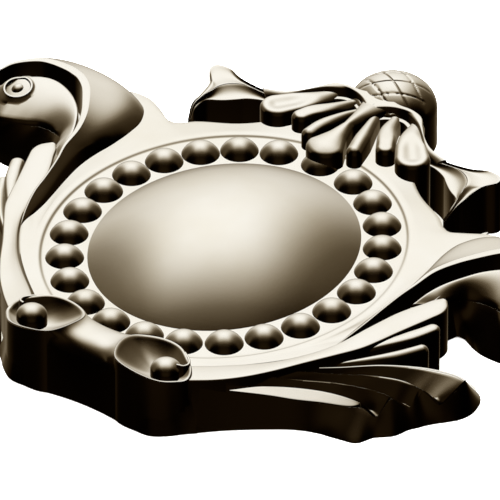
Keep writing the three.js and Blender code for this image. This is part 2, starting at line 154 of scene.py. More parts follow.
def strip(rungs, steps, rows, lip, rise=None):
    # A band between two edges, given as rungs from one to the other. Its height blends along each rung,
    # plus rise(s, t). Both edges turn down in a quarter round: in by lip(1 - cos), down by lip(1 - sin).
    # Where steps is None, the rungs are fine enough already.
    rungs = np.asarray(rungs, float) if steps is None else smoothCurve(rungs, steps)
    a, b = rungs[:, :3], rungs[:, 3:6]
    width = np.maximum(np.linalg.norm((b - a)[:, :2], axis=1), lipShape["leastWidth"])
    turn = np.linspace(0, np.pi / 2, lipShape["steps"])[:, None]
    edge = np.minimum(lip, lipShape["stripShare"] * width)
    near = edge * (1 - np.cos(turn)) / width
    far = 1 - near[::-1]
    middle = near[-1] + (far[0] - near[-1]) * np.linspace(0, 1, rows + 1)[1:-1, None]
    t = np.vstack([near, middle, far])[..., None]
    sink = np.vstack([edge * (1 - np.sin(turn)), 0 * middle, (edge * (1 - np.sin(turn)))[::-1]])
    top = a * (1 - t) + b * t
    top[..., 2] += plateTop - sink
    if rise is not None:
        top[..., 2] += rise(np.linspace(0, 1, len(rungs))[None, :], t[..., 0])
    return top


def lobeFace(spine, widths, steps, rows, crown, lip, tip=14, rise=None):
    # A lobe round a spine: its outline runs half a width away on both sides and in a half circle round
    # each end. t runs from the spine to the outline, the height falls by crown tt, and the edge turns down.
    path = smoothCurve(spine, steps)
    half = np.interp(np.linspace(0, 1, steps), np.linspace(0, 1, len(widths)), widths)
    side = sideways(path)
    ahead = np.stack([side[:, 1], -side[:, 0]], axis=1)
    swing = np.linspace(0, np.pi, tip + 2)[1:-1, None]

    def cap(k, way):
        return path[k, :2] + half[k] * (np.cos(swing) * side[k] * way + np.sin(swing) * ahead[k] * way)

    left = path[:, :2] + side * half[:, None]
    right = path[::-1, :2] - side[::-1] * half[::-1, None]
    outline = np.vstack([left, cap(-1, 1), right, cap(0, -1)])
    heart = np.vstack([path, np.repeat(path[-1:], tip, 0), path[::-1], np.repeat(path[:1], tip, 0)])
    s = np.concatenate([np.linspace(0, 1, steps), np.ones(tip), np.linspace(1, 0, steps), np.zeros(tip)])
    span = np.concatenate([half, np.full(tip, half[-1]), half[::-1], np.full(tip, half[0])])
    edge = np.minimum(lip, lipShape["lobeShare"] * span)
    turn = np.linspace(np.pi / 2, 0, lipShape["steps"])[:, None]
    rounded = 1 - edge * (1 - np.cos(turn)) / span
    flat = rounded[0] * np.linspace(0, 1, rows)[:-1, None]
    t = np.vstack([flat, rounded])
    sink = np.vstack([0 * flat, edge * (1 - np.sin(turn))])
    top = np.empty((*t.shape, 3))
    top[..., :2] = heart[:, :2] * (1 - t[..., None]) + outline * t[..., None]
    top[..., 2] = plateTop + heart[:, 2] - crown * t ** 2 - sink
    if rise is not None:
        top[..., 2] += rise(s[None, :], t)
    return top


def swell(height):
    # The rise of a band by a sine from edge to edge; a height below 0 hollows it.
    return lambda s, t: height * np.sin(np.pi * t)


def roundFace(middle, outline, radii, heights):
    # Rings that grow from a middle point to a closed outline: ring k lies at radii[k] of the way and at
    # heights[k].
    t = np.asarray(radii, float)[:, None, None]
    top = np.asarray(middle)[None, None, :] * (1 - t) + outline[None] * t
    top[..., 2] = plateTop + np.asarray(heights, float).reshape(len(radii), -1)
    return top


boss = {"centre": (0, 1.3), "halfWidth": 65.5, "halfHeight": 74.5, "rise": 23.5, "around": 112, "rings": 34}
ring = {"centre": (0, 1.0), "halfWidth": 76.8, "halfHeight": 85.4, "places": 25, "radius": 9.8, "rise": 6.4,
        "around": 30, "rings": 9, "aside": 2.6, "asideReach": 3, "cuts": 720}
fieldDrop = 0.8  # the field round the boss lies this far below the frame


def ovalPoints(halfWidth, halfHeight, count, centre):
    # An oval: x = half width cos, y = half height sin, in equal turns.
    angle = np.linspace(0, 2 * np.pi, count, endpoint=False)
    across, along = centre[0] + halfWidth * np.cos(angle), centre[1] + halfHeight * np.sin(angle)
    return np.stack([across, along, 0 * angle], axis=1)


def bossShell():
    # A low cap of a ball over an oval: height = sqrt(RR - rr) - (R - rise), with r from 0 to the oval.
    mean = (boss["halfWidth"] + boss["halfHeight"]) / 2
    ball = (mean ** 2 + boss["rise"] ** 2) / (2 * boss["rise"])
    reach = np.sin(np.linspace(0, np.pi / 2, boss["rings"]))
    height = np.sqrt(ball ** 2 - (mean * reach) ** 2) - (ball - boss["rise"]) - fieldDrop
    outline = ovalPoints(boss["halfWidth"], boss["halfHeight"], boss["around"], boss["centre"])
    face = roundFace((*boss["centre"], 0), outline, reach, height)
    return shellOf(face, ringed=True, floor=plateTop - rootDepth)


def beadShells():
    # Low balls along the oval from its top, each a cap R(1 - cos) below its crown. Their steps are equal,
    # but for a bell curve that moves those by the crest a little aside.
    angle = np.pi / 2 + np.linspace(0, 2 * np.pi, ring["cuts"] + 1)
    oval = np.stack([ring["halfWidth"] * np.cos(angle), ring["halfHeight"] * np.sin(angle)], axis=1)
    run = np.concatenate([[0], np.cumsum(np.linalg.norm(np.diff(oval, axis=0), axis=1))])
    k = np.arange(ring["places"])
    near = np.minimum(k, ring["places"] - k)
    aside = ring["aside"] * np.exp(-((near - 1) / ring["asideReach"]) ** 2) * (near > 0)
    place = run[-1] * k / ring["places"] + aside * np.where(k < ring["places"] / 2, 1, -1)
    ball = (ring["radius"] ** 2 + ring["rise"] ** 2) / (2 * ring["rise"])
    lean = np.linspace(0, math.asin(ring["radius"] / ball), ring["rings"])
    height = ring["rise"] - fieldDrop - ball * (1 - np.cos(lean))
    shells = []
    for p in place:
        x, y = (np.interp(p, run, oval[:, n]) + ring["centre"][n] for n in (0, 1))
        outline = ovalPoints(ring["radius"], ring["radius"], ring["around"], (x, y))
        face = roundFace((x, y, 0), outline, ball * np.sin(lean) / ring["radius"], height)
        shells.append(shellOf(face, ringed=True, floor=plateTop - rootDepth))
    return shells


plate = {
    # right side, from the bottom to the top; the left is its mirror image
    "edge": [(0, -103, -1.2), (40, -98.5, -1), (54.5, -87.3, 0.2), (70, -73.6, 0.3), (82, -60.6, 0.4),
             (93.8, -42, 0.4), (97.5, -31, 0), (99.6, -22, -1), (101, 0, -1.7), (103, 20, -1.7),
             (102, 40, -1.7), (101, 60, -1.7), (108, 78, -1.7), (118, 86, -1.7), (105.7, 87.3, -1.7),
             (93.8, 81.6, -1.7), (86.4, 76.8, -1.7), (80.7, 78, -1.7), (74, 84, -1.7), (56, 94, -1.7),
             (45, 104, -1.7), (33, 122, -1.7), (14, 133, -1.7), (0, 135, -1.7)],
    "around": 220,
    "innerRings": (0, 0.45, 0.8, 1),
    # the shoulder: how far outside the line of beads, height
    "shoulder": [(9.8, -0.8), (11.2, -0.78), (11.8, -0.62), (12.4, -0.25), (13, 0.05), (13.8, 0.16),
                 (16, 0.1)],
    "outerRows": 10,
    "lip": 0.45,
}


def plateShell():
    # The frame: rings at fixed distances from the line of beads make the field and its soft shoulder, and
    # from there the face runs straight to the outer edge, where it turns down.
    half = plate["around"] // 2
    right = smoothCurve(plate["edge"], half + 1)
    edge = np.vstack([right, (right * [-1, 1, 1])[-2:0:-1]])
    lean = np.linspace(0, 2 * np.pi, len(edge), endpoint=False) - np.pi / 2
    line = np.stack([ring["halfWidth"] * np.cos(lean), ring["halfHeight"] * np.sin(lean)], axis=1)
    out = np.stack([ring["halfHeight"] * np.cos(lean), ring["halfWidth"] * np.sin(lean)], axis=1)
    out /= np.linalg.norm(out, axis=1, keepdims=True)
    line += ring["centre"]
    rings = [line * share for share in plate["innerRings"]]
    heights = [np.full(len(edge), -fieldDrop)] * len(rings)
    for away, height in plate["shoulder"]:
        rings.append(line + out * away)
        heights.append(np.full(len(edge), height))
    last, lastHeight = rings[-1], heights[-1]
    rows = plate["outerRows"]
    for k in range(1, rows + 1):
        t = k / rows
        rings.append(last * (1 - t) + edge[:, :2] * t)
        heights.append(lastHeight * (1 - t) + edge[:, 2] * t - (plate["lip"] if k == rows else 0))
    top = np.empty((len(rings), len(edge), 3))
    top[..., :2] = np.array(rings)
    top[..., 2] = plateTop + np.array(heights)
    return shellOf(top, ringed=True)


volute = {
    # across the flank: its foot on the frame, and the rim's outer edge with its height and its width
    "rungs": [(93.2, -42.5, 93.9, -42, 0.5, 0.8), (94, -33, 97, -32.5, 3.6, 0.9),
              (94.8, -20, 99.8, -21, 6.3, 0.9), (96.5, -8, 101.3, -9, 7.8, 0.9),
              (98.2, 4, 103.3, 4, 9.8, 1.1), (99.4, 18, 105.5, 14, 11.5, 1.5),
              (98.4, 30, 107, 28, 12.5, 2.4), (95.3, 44, 111.5, 41.5, 12.5, 3.3),
              (93.6, 56, 117.5, 52.5, 12.5, 4), (94.5, 67, 124, 62, 12.5, 4.4),
              (101, 78, 131, 68, 12.5, 4.6), (113, 84, 136.5, 70.3, 12.5, 4.8),
              (131, 87, 142.5, 71.5, 12.5, 4.8), (147, 86, 151.5, 71, 12.5, 4.2),
              (160, 81, 158.5, 68.5, 12.5, 3.4), (168.5, 72.5, 164.5, 63, 12.5, 2.6),
              (172.6, 62, 168.7, 56.5, 12.5, 1.9), (173.6, 50, 170, 49, 12.5, 1)],
    "footLevel": -3,
    "flankShare": 0.5,  # of the climb that is steep at the foot
    "flankBend": 6,
    "steps": 116,
    "flankRows": 15,
    "rimBack": 0.35,  # the rim's edge stands this far out past the flank
    "rimRows": 3,
    "edgeLip": 0.5,
    # across the roll: its edge at the bowl's wall, and its front edge
    "roll": [(106.5, 11, 1.8, 114.5, 17, 1.2), (109, 20, 4.2, 118, 22, 1), (112.8, 31, 5.2, 121, 30.5, -1),
             (117.3, 41, 5.3, 124.5, 36, -2.5), (123.2, 50.5, 5.4, 131, 38.4, -3),
             (133, 59.5, 5.5, 139, 38.4, -3), (143.5, 64.5, 5.5, 146, 35.4, -3),
             (151, 65, 5.5, 153, 32.8, -3), (157.5, 62, 5.5, 160, 31.5, -3.5),
             (162.5, 57.5, 5.2, 167, 35, -5), (165, 51, 4.5, 170.5, 43, -6)],
    "rollSwell": 8.5,
    "rollBend": 1.7,
    "rollStart": 0.2,  # the swell grows over this share of its length
    "rollSteps": 76,
    "rollRows": 16,
    "rollLip": 1.5,
    "skirtDrop": 1.9,
    "skirtRows": 8,
    "skirtLip": 0.05,
    # below the roll's front edge: where its wall meets the back plane
    "hem": [(118, 20), (117, 27), (121.5, 30.5), (126, 30), (132.5, 26.5), (140, 24), (149.5, 23.5),
            (157, 24.5), (165, 27), (171, 33), (173.8, 44)],
    # the slope from the foot of the rim's wall up to the ribbon
    "slope": [(89, -53, -0.4, 88.6, -52.3, 1.2), (95, -41.5, -0.6, 95, -40.6, 2.2),
              (98.6, -30, -0.9, 99.2, -29, 2.7), (100.8, -18, -1, 103, -16, 2.8),
              (101.6, -8, -1.2, 106, -5.5, 2.8), (102.8, 1, -1.4, 109.2, 3, 2.8),
              (104.4, 9, -1.4, 112.4, 9.5, 2.6), (106, 17, -1.4, 115, 15, 2.4),
              (108.2, 25, -1.2, 115.5, 23, 3.2)],
    "slopeGrid": (60, 5),
    "slopeLip": 0.3,
    # the low bed between the rim and the roll
    "bed": [(106, 22, -3, 113, 20, -3.4), (110, 32, -6, 117, 30, -7), (121, 52, -6, 127, 43, -7),
            (140, 67, -6, 143, 52, -7), (157, 66, -6, 156, 50, -7), (166, 55, -6, 164, 46, -7)],
    "bedGrid": (40, 3),
    "eye": (160.5, 50.2),
    # section of the eye, from its middle out: distance, height
    "eyeSection": [(0, 5.0), (1.6, 4.8), (2.7, 4.1), (3.3, 2.8), (3.8, 1.6), (4.6, 1.2), (5.4, 1.5),
                   (6.0, 3.2), (6.3, 4.2), (6.5, 4.5), (7.3, 4.5), (7.6, 4.2), (8.2, 3.7), (9.2, 3.1),
                   (10.4, 2.2), (11.6, 0.8), (13, -1.8)],
    "eyeLean": 0.2,  # it rises with y as the roll does
    "eyeSpiral": 0.16,
    "eyeSpiralTurn": 0.93,  # the share of a full turn over which it is drawn in
    "eyeAround": 72,
}


def voluteShells():
    # Flank: steep at its foot, then a gentle climb to the rim. With t from the foot to the rim, it has
    # climbed share (1 - (1 - t)^bend) + (1 - share) t of the way.
    rungs = smoothCurve(volute["rungs"], volute["steps"])
    foot, rim, wide = rungs[:, 0:2], rungs[:, 2:5], rungs[:, 5:6]
    t = np.linspace(0, 1, volute["flankRows"])[:, None]
    steep = volute["flankShare"]
    climb = steep * (1 - (1 - t) ** volute["flankBend"]) + (1 - steep) * t
    flank = np.empty((len(t), len(rungs), 3))
    flank[..., :2] = foot * (1 - t[..., None]) + rim[:, :2] * t[..., None]
    flank[..., 2] = plateTop + volute["footLevel"] + (rim[:, 2] - volute["footLevel"]) * climb
    # Rim: a flat band along the top of the flank, thin beside the frame and broad round the volute.
    side = sideways(rim)
    back, inner = rim.copy(), rim.copy()
    back[:, :2] += side * volute["rimBack"]
    inner[:, :2] -= side * wide
    rimFace = strip(np.hstack([back, inner]), None, volute["rimRows"], lip=volute["edgeLip"])
    # Roll: straight from the wall to the front edge, and raised between them by swell (t - t^bend).
    steps = volute["rollSteps"]

    def rollRise(s, t):
        return volute["rollSwell"] * (t - t ** volute["rollBend"]) * ease(s / volute["rollStart"])

    roll = strip(volute["roll"], steps, volute["rollRows"], lip=volute["rollLip"], rise=rollRise)
    # Skirt: the wall that leans in from below the roll's front edge to the back plane.
    front = smoothCurve(volute["roll"], steps)[:, 3:6]
    hem = smoothCurve(volute["hem"], steps)
    hem[:, 2] = footLine
    front[:, 2] -= volute["skirtDrop"]
    skirt = strip(np.hstack([front, hem]), None, volute["skirtRows"], lip=volute["skirtLip"])
    # Eye: its section goes round and is drawn in more and more with the turn, so its lip is a spiral.
    distance, height = np.array(volute["eyeSection"]).T
    share = np.linspace(0, 1, volute["eyeAround"], endpoint=False)
    draw = 1 + volute["eyeSpiral"] * (0.5 - np.interp(share, [0, volute["eyeSpiralTurn"], 1], [0, 1, 0]))
    swing = 2 * np.pi * share + np.pi / 2
    outline = np.stack([np.cos(swing) * draw, np.sin(swing) * draw, 0 * draw], axis=1) + [*volute["eye"], 0]
    eye = roundFace((*volute["eye"], 0), outline, distance, height)
    eye[..., 2] += volute["eyeLean"] * (eye[..., 1] - volute["eye"][1])
    slope = strip(volute["slope"], *volute["slopeGrid"], lip=volute["slopeLip"])
    bed = strip(volute["bed"], *volute["bedGrid"], lip=volute["edgeLip"])
    return both([shellOf(flank), shellOf(rimFace), shellOf(roll), shellOf(skirt), shellOf(eye, ringed=True),
                 shellOf(slope), shellOf(bed)])


ribbon = {
    # across the band: outer edge, inner edge
    "rungs": [(54, -110, 5.5, 47, -97, 4), (64, -100.3, 4.2, 57, -86.5, 2),
              (74, -89, 3.5, 69.6, -75.2, 1.5), (83, -76, 3.1, 79, -65.3, 1.4),
              (92, -61, 2.8, 86.6, -54.8, 1.6), (100.5, -48, 2.9, 92, -45.8, 2),
              (108, -36, 3, 96.4, -36, 2.6), (112.3, -25, 3, 99.8, -23, 3),
              (115.7, -14.5, 3, 102.7, -11.5, 3), (119, -5, 3, 105.5, -1.5, 3),
              (122.5, 5, 3, 108.8, 6.5, 3), (124.6, 12, 3, 112, 13, 3),
              (123.8, 17.5, 2.9, 114.3, 18.5, 2.9), (120.5, 22, 2.6, 116.8, 22, 2.6)],
    "grid": (96, 7),
    "swell": 0.5,
    "lip": 0.8,
}
flutes = [
    {"spine": [(99, -42, -1.5), (109.5, -28.5, 1), (118, -16, 2), (123.2, -5.8, 2), (126, 0.8, 2)],
     "widths": [1.5, 2.4, 3.1, 3.9, 3.6], "crown": 1.0},
    {"spine": [(99, -48, -3), (111, -35.5, -2), (120.5, -22.5, -2.3), (127, -10.5, -2.8)],
     "widths": [1.5, 2.8, 3.6, 3.6], "crown": 2.2},
]
fluteGrid = {"steps": 30, "rows": 8, "lip": 1.2}


def ribbonShells():
    # The ribbon is a flat band that swells by a sine across it; each flute is a lobe with a broad crown.
    band = strip(ribbon["rungs"], *ribbon["grid"], lip=ribbon["lip"], rise=swell(ribbon["swell"]))
    shells = [shellOf(band)]
    for flute in flutes:
        face = lobeFace(**flute, **fluteGrid)
        shells.append(shellOf(face, ringed=True))
    return both(shells)


folds = {
    # the sharp ridges, from the ribbon out to their tips
    "ridges": [
        [(98, -58, 0), (105.6, -49.6, -1.6), (119.8, -35.2, -3.3), (135.4, -24.3, -5), (144.8, -20.6, -5.5),
         (152.9, -19.2, -5.5), (158.7, -20, -5.6)],
        [(91, -66, 0), (103.4, -55.8, -2.4), (119, -44.4, -4), (132.6, -38, -5), (140.9, -36.7, -6),
         (147.8, -34.5, -9.5), (152.6, -33.1, -14.5)],
        [(80, -79, 0), (92.3, -68.7, -3), (107.4, -58.2, -5), (118.4, -54.4, -5.2), (126.8, -51.5, -6),
         (134.3, -47.5, -9), (141.8, -43.8, -14.5)],
        [(62, -101, 0.5), (81.5, -84.6, -2), (91.9, -75.1, -4), (103.9, -66.3, -6.5), (115, -60.7, -9),
         (122.8, -58.1, -11), (132, -58, -15.5)],
    ],
    # the flat lens below the last ridge: upper edge, lower edge
    "lens": [(71.2, -97.5, -0.6, 71.4, -97.9, -0.6), (81.5, -84.6, -2, 87.7, -86.6, -3.6),
             (91.9, -75.1, -4, 97.8, -80, -5.8), (103.9, -66.3, -6.5, 107.9, -72.3, -8),
             (115, -60.7, -9, 119.8, -63.2, -11), (122.8, -58.1, -11, 122.9, -58.4, -11.4)],
    # the wall below the folds: its top edge, and where it meets the back plane
    "wall": [(134.6, -22.8, -5.3, 138, -9), (144.2, -18.9, -5.8, 148, -5.5),
             (152.6, -17.6, -5.8, 156, -3.5), (158, -18, -5.9, 161.5, -9), (159.6, -20.6, -6.1, 163.6, -19),
             (156.5, -27, -10.6, 161.3, -27), (153, -33.3, -14.8, 157.3, -32.3),
             (148, -35.2, -10, 153.3, -36.7), (143.3, -36.6, -7.4, 150.3, -40.7),
             (142.8, -40.3, -10.7, 147.8, -44.7), (142, -44.3, -14.8, 145, -49),
             (138.2, -46.2, -12, 143.8, -53), (134.6, -48, -9.5, 142.2, -56.8),
             (133.3, -53, -12.7, 138.4, -60.6), (132, -58.3, -15.8, 134.5, -64),
             (125, -59.5, -12.6, 130, -72.5), (119.8, -63.6, -11.4, 122, -74.6),
             (107.9, -72.7, -8.4, 109, -76.6), (97.8, -80.2, -6.2, 98, -80.8),
             (87.7, -86.9, -4.2, 87.5, -87.6), (71.4, -98.4, -1.7, 71.5, -99.6),
             (60, -107.5, 2, 59.5, -110.5)],
    # how much of each ridge the face below it uses, for beyond that the ridge runs on alone to its tip
    "used": [1, 0.86, 0.85],
    "bandWidth": (0.7, 1.6),
    "sag": 7.5,
    # across a face: where the fall starts, its length, where the climb starts, its length
    "fall": (0.05, 0.81, 0.86, 0.11),
    "rootShare": 0.3,  # of the sag that is there at the root
    "rootEnd": 0.25,
    "tipShare": 0.15,  # of the sag that is left at the tip
    "tipStart": 0.8,
    "steps": 70,
    "rows": 18,
    "bandRows": 6,
    "lensRows": 8,
    "wallGrid": (120, 6),
    "faceLip": 0.1,
    "bandLip": 0.3,
    "wallLip": 0.05,
}


def foldShells():
    # From each ridge, or the used share of it, a face runs to the next: it sags evenly below the straight
    # line between them, and climbs back steeply just before the next. The sag is less at roots and tips.
    steps, rows = folds["steps"], folds["rows"]
    fallStart, fall, climbStart, climb = folds["fall"]

    def riser(s, t):
        sunk = np.clip((t - fallStart) / fall, 0, 1) - np.clip((t - climbStart) / climb, 0, 1)
        root = folds["rootShare"] + (1 - folds["rootShare"]) * ease(s / folds["rootEnd"])
        tip = 1 - (1 - folds["tipShare"]) * ease((s - folds["tipStart"]) / (1 - folds["tipStart"]))
        return -folds["sag"] * sunk * tip * root

    lines = folds["ridges"]
    shells = []
    for upper, lower, used in zip(lines[:-1], lines[1:], folds["used"]):
        fine = smoothCurve(upper, 4 * steps)
        place = np.linspace(0, used * (len(fine) - 1), steps)
        above = np.stack([np.interp(place, np.arange(len(fine)), column) for column in fine.T], axis=1)
        rungs = np.hstack([above, smoothCurve(lower, steps)])
        shells.append(shellOf(strip(rungs, None, rows, rise=riser, lip=folds["faceLip"])))
    # The band behind the first ridge is flat and a little wider at its tip.
    front = smoothCurve(lines[0], steps)
    behind = front.copy()
    behind[:, :2] += sideways(front) * np.linspace(*folds["bandWidth"], steps)[:, None]
    band = strip(np.hstack([behind, front]), None, folds["bandRows"], lip=folds["bandLip"])
    shells.append(shellOf(band))
    lens = strip(folds["lens"], steps, folds["lensRows"], lip=folds["faceLip"])
    wall = np.array([(*rung, footLine) for rung in folds["wall"]])
    skirt = strip(wall, *folds["wallGrid"], lip=folds["wallLip"])
    return both([*shells, shellOf(lens), shellOf(skirt)])


scroll = {
    "lip": [(54.5, -110, 6), (51, -116.5, 7), (45, -122.5, 8.8), (32, -126, 12), (19.5, -123.4, 13.8),
            (13.5, -111, 13.6), (14, -100, 11.5), (20, -94, 10), (30, -91.5, 10), (39, -93, 10),
            (47, -98.5, 9.4), (53, -104, 7.6)],
    "centre": (35, -108.5),
    "middleLevel": 9.5,
    "depth": 8.5,
    "bowlPower": 0.8,
    "bowlRings": 24,
    "wallLean": 0.01,
    "lipWidth": 1.5,
    # across the lip: share of its width, height below its line
    "lipSection": [(0, 0.25), (0.34, 0), (0.67, 0), (1, 0.5)],
    "knob": (40.5, -108.8, 11.6),
    "knobRadius": 7.8,
    "knobHeight": 5.4,
    "knobRings": 16,
    "knobAround": 48,
    # the wall below the lip: its top edge, and where it meets the back plane
    "apron": [(26, -123.5, -1, 26, -124.8), (34, -124, -1, 35, -126), (40, -123, -1, 42.5, -125.3),
              (46, -119.5, -1, 50.3, -119.9), (50, -114, -1, 55.5, -114.5), (54, -108, -1, 60.5, -110)],
    "apronGrid": (40, 8),
    "apronLip": 0.05,
    "curl": [(43, -94.8, 9.6), (48, -98.4, 9.6), (50.6, -102.6, 10), (49.8, -106.6, 10.6),
             (46.6, -108.4, 11.2)],
    "curlWidth": 1.3,
    "curlGrid": (32, 4),
    "curlLip": 0.4,
    "around": 88,
}


def scrollShells():
    # A hollow inside a raised lip: rings grow from the middle out to the lip, and the hollow's depth is
    # cos^power of the way to the wall. The knob is half an ellipsoid, and the curl a narrow flat hook. The
    # apron closes the outline below the lip, down to the back plane.
    lip = smoothCurve(scroll["lip"], scroll["around"] + 1, closed=True)[:-1]
    cx, cy = scroll["centre"]
    reach = np.linalg.norm(lip[:, :2] - [cx, cy], axis=1)
    wall = 1 - scroll["lipWidth"] / reach
    t = np.linspace(0, 1, scroll["bowlRings"])[:, None] * (wall - scroll["wallLean"])
    depth = scroll["depth"] * np.cos(np.pi / 2 * np.clip(t / wall, 0, 1)) ** scroll["bowlPower"]
    across, below = np.array(scroll["lipSection"]).T[..., None]
    bowl = np.vstack([t, wall + across * (1 - wall)])
    height = scroll["middleLevel"] * (1 - bowl) + lip[:, 2] * bowl
    height[:len(t)] -= depth
    height[len(t):] -= below
    top = np.empty((*bowl.shape, 3))
    top[..., 0] = cx + (lip[:, 0] - cx) * bowl
    top[..., 1] = cy + (lip[:, 1] - cy) * bowl
    top[..., 2] = plateTop + height
    x, y, z = scroll["knob"]
    lean = np.linspace(0, np.pi / 2, scroll["knobRings"])
    outline = ovalPoints(scroll["knobRadius"], scroll["knobRadius"], scroll["knobAround"], (x, y))
    knob = roundFace((x, y, 0), outline, np.sin(lean), z + scroll["knobHeight"] * (np.cos(lean) - 1))
    steps, rows = scroll["curlGrid"]
    curl = smoothCurve(scroll["curl"], steps)
    curlIn = curl.copy()
    curlIn[:, :2] -= sideways(curl) * scroll["curlWidth"]
    curlFace = strip(np.hstack([curl, curlIn]), None, rows, lip=scroll["curlLip"])
    slant = np.array([(*rung, footLine) for rung in scroll["apron"]])
    apron = strip(slant, *scroll["apronGrid"], lip=scroll["apronLip"])
    return both([shellOf(top, ringed=True), shellOf(knob, ringed=True, floor=plateTop - rootDepth),
                 shellOf(curlFace), shellOf(apron)])


saddle = {
    # its edge along the lip of the scroll, from the back to the front
    "edge": [(24, -92.6, 9.6), (18.5, -94.8, 10), (14.4, -100, 11.2), (13.2, -105.5, 12.4),
             (13.6, -111, 13.3), (15.8, -117.5, 13.9), (19.5, -123.3, 13.8), (24.5, -125.2, 13.1),
             (29, -125.9, 12.3)],
    "back": -98.5,
    "front": -122.4,
    "rise": 11.2,
    "crest": 0.52,
    "behind": 0.76,
    "ahead": 0.5,
    "steps": 60,
    "rows": 44,
}


def saddleShell():
    # A swelling across the middle: height = rise sqrt(1 - ((t - crest) / r)^2), with t from back to front
    # and r for behind or ahead of its crest. Towards each side it blends into the lip of the scroll, its
    # places by ss and its heights by ssss.
    s = np.linspace(-1, 1, saddle["steps"])[None, :]
    edge = smoothCurve(saddle["edge"], saddle["rows"])
    t = np.linspace(0, 1, saddle["rows"])[:, None]
    top = np.empty((saddle["rows"], saddle["steps"], 3))
    middle = saddle["back"] + (saddle["front"] - saddle["back"]) * t
    reach = np.where(t < saddle["crest"], saddle["behind"], saddle["ahead"])
    bulge = np.sqrt(np.clip(1 - ((t - saddle["crest"]) / reach) ** 2, 0, 1))
    top[..., 0] = s * edge[:, :1]
    top[..., 1] = middle + (edge[:, 1:2] - middle) * s ** 2
    height = saddle["rise"] * bulge
    top[..., 2] = plateTop + height + (edge[:, 2:] - height) * s ** 4
    return shellOf(top)


crest = {
    "middle": {"spine": [(0, 140, 9), (0, 128, 10.5), (0, 112, 11.5), (0, 101, 11.5), (0, 91.5, 11.5)],
               "widths": [9, 6.5, 4.5, 3.2, 5.8, 10.2], "steps": 40, "rows": 10, "crown": 2.6, "lip": 1.6},
    # each lobe: spine, widths, depth of the hollow in its end
    "lobes": [([(4, 130, 7), (8, 118, 9.5), (12, 104, 10.8), (13.6, 97, 10)], [2.6, 3.2, 4.2, 4.3], 0),
              ([(13, 134, 6), (17, 122, 9), (23, 111.5, 10.5), (25.5, 107, 10)], [3.2, 4.2, 5, 5], 0.6),
              ([(25, 136, 6), (30, 124, 8.3), (36.5, 114.5, 9.2), (41, 108.5, 9.4)], [4, 6, 8, 9], 2.4)],
    "lobeGrid": {"steps": 28, "rows": 9, "crown": 2.2, "lip": 1.5},
    "hollowReach": 0.85,  # of the way out to the lobe's edge
    "hollowStart": (0.3, 0.5),  # along the lobe: where it starts, over what length it grows
    # hood: back edge, front edge
    "hood": [(-1, 142.3, 10, -1, 117, 9), (4.5, 141.8, 10, -1, 125, 9), (12, 140, 10, 3, 131.3, 9),
             (20, 139.8, 10, 9, 135.5, 9), (27, 137.5, 9.6, 17, 137.4, 9), (32, 131.5, 9, 26, 133.5, 8.8),
             (38, 124.5, 8.2, 32.5, 128, 8), (46, 119.5, 7.6, 42, 117.5, 6.4),
             (56, 116.8, 7.2, 52, 113.5, 5.2)],
    # thin line under the hood's front wall: back edge, front edge
    "arch": [(-1, 122, 4.6, -1, 119.5, 4.6), (2.5, 130, 4.6, 5, 127.5, 4.6),
             (9, 134.8, 4.6, 10.5, 132.4, 4.6), (17, 136.6, 4.6, 17.5, 134, 4.6),
             (25.5, 132.8, 4.6, 24, 130.5, 4.6), (31.5, 127.6, 4.6, 29.5, 126, 4.6)],
    # leaf: back edge, ridge
    "leafBack": [(44, 119.5, 7, 42, 115.8, 5), (51, 116.8, 7, 50, 114.6, 5.6),
                 (58, 116.3, 7, 58, 114.8, 6.2), (70.5, 118, 7, 65, 114.3, 6.5),
                 (80, 121.8, 7, 70, 112.4, 6.5), (87.3, 120, 7, 73.4, 109.5, 6.5),
                 (87.8, 115.5, 6.6, 75.2, 106.5, 6.5), (83.2, 110.5, 5.8, 76.1, 103.5, 6.5),
                 (81.3, 104, 5.2, 76.6, 100, 6.5), (80.6, 96.5, 4.8, 77.8, 95.5, 6.2),
                 (80.2, 89, 4.2, 78.8, 89, 4.4), (78.2, 82.5, -1, 77.4, 82.8, -1)],
    # leaf: ridge, front lip
    "leafFront": [(42, 115.8, 5, 43, 113, 3), (50, 114.6, 5.6, 50, 112.2, 3.4),
                  (58, 114.8, 6.2, 55, 110.6, 3.5), (65, 114.3, 6.5, 60, 108, 3.5),
                  (70, 112.4, 6.5, 63, 105.3, 3.5), (73.4, 109.5, 6.5, 66, 102.6, 3.5),
                  (75.2, 106.5, 6.5, 69, 100.2, 3.5), (76.1, 103.5, 6.5, 71.5, 98.6, 3.5),
                  (76.6, 100, 6.5, 74, 97.2, 3.5), (77.8, 95.5, 6.2, 76.2, 95, 3.6),
                  (78.8, 89, 4.4, 77.6, 89, 3), (77.4, 82.8, -1, 76.8, 83, -1)],
    # each band: steps, rows, lip, swell
    "bands": {"hood": (56, 12, 0.7, 0.5), "arch": (40, 3, 0.4, 0), "leafBack": (60, 10, 0.6, -1.3),
              "leafFront": (60, 10, 0.5, -0.9)},
}


def hollowOf(depth):
    # The end of a lobe sinks inside its rim, by depth times the square of the cosine of the way out, and
    # the hollow eases in along the spine.
    start, length = crest["hollowStart"]

    def sink(s, t):
        across = np.cos(np.pi / 2 * np.clip(t / crest["hollowReach"], 0, 1)) ** 2
        return -depth * across * ease((s - start) / length)

    return sink


def crestShells():
    # Crowned lobes fan out from the middle one. The hood and the arch are bands behind them, and each leaf
    # is two hollow bands that meet in its ridge.
    side = []
    for spine, widths, hollow in crest["lobes"]:
        face = lobeFace(spine, widths, **crest["lobeGrid"], rise=hollowOf(hollow))
        side.append(shellOf(face, ringed=True))
    for name, (steps, rows, lip, height) in crest["bands"].items():
        side.append(shellOf(strip(crest[name], steps, rows, lip=lip, rise=swell(height))))
    return [shellOf(lobeFace(**crest["middle"]), ringed=True), *both(side)]


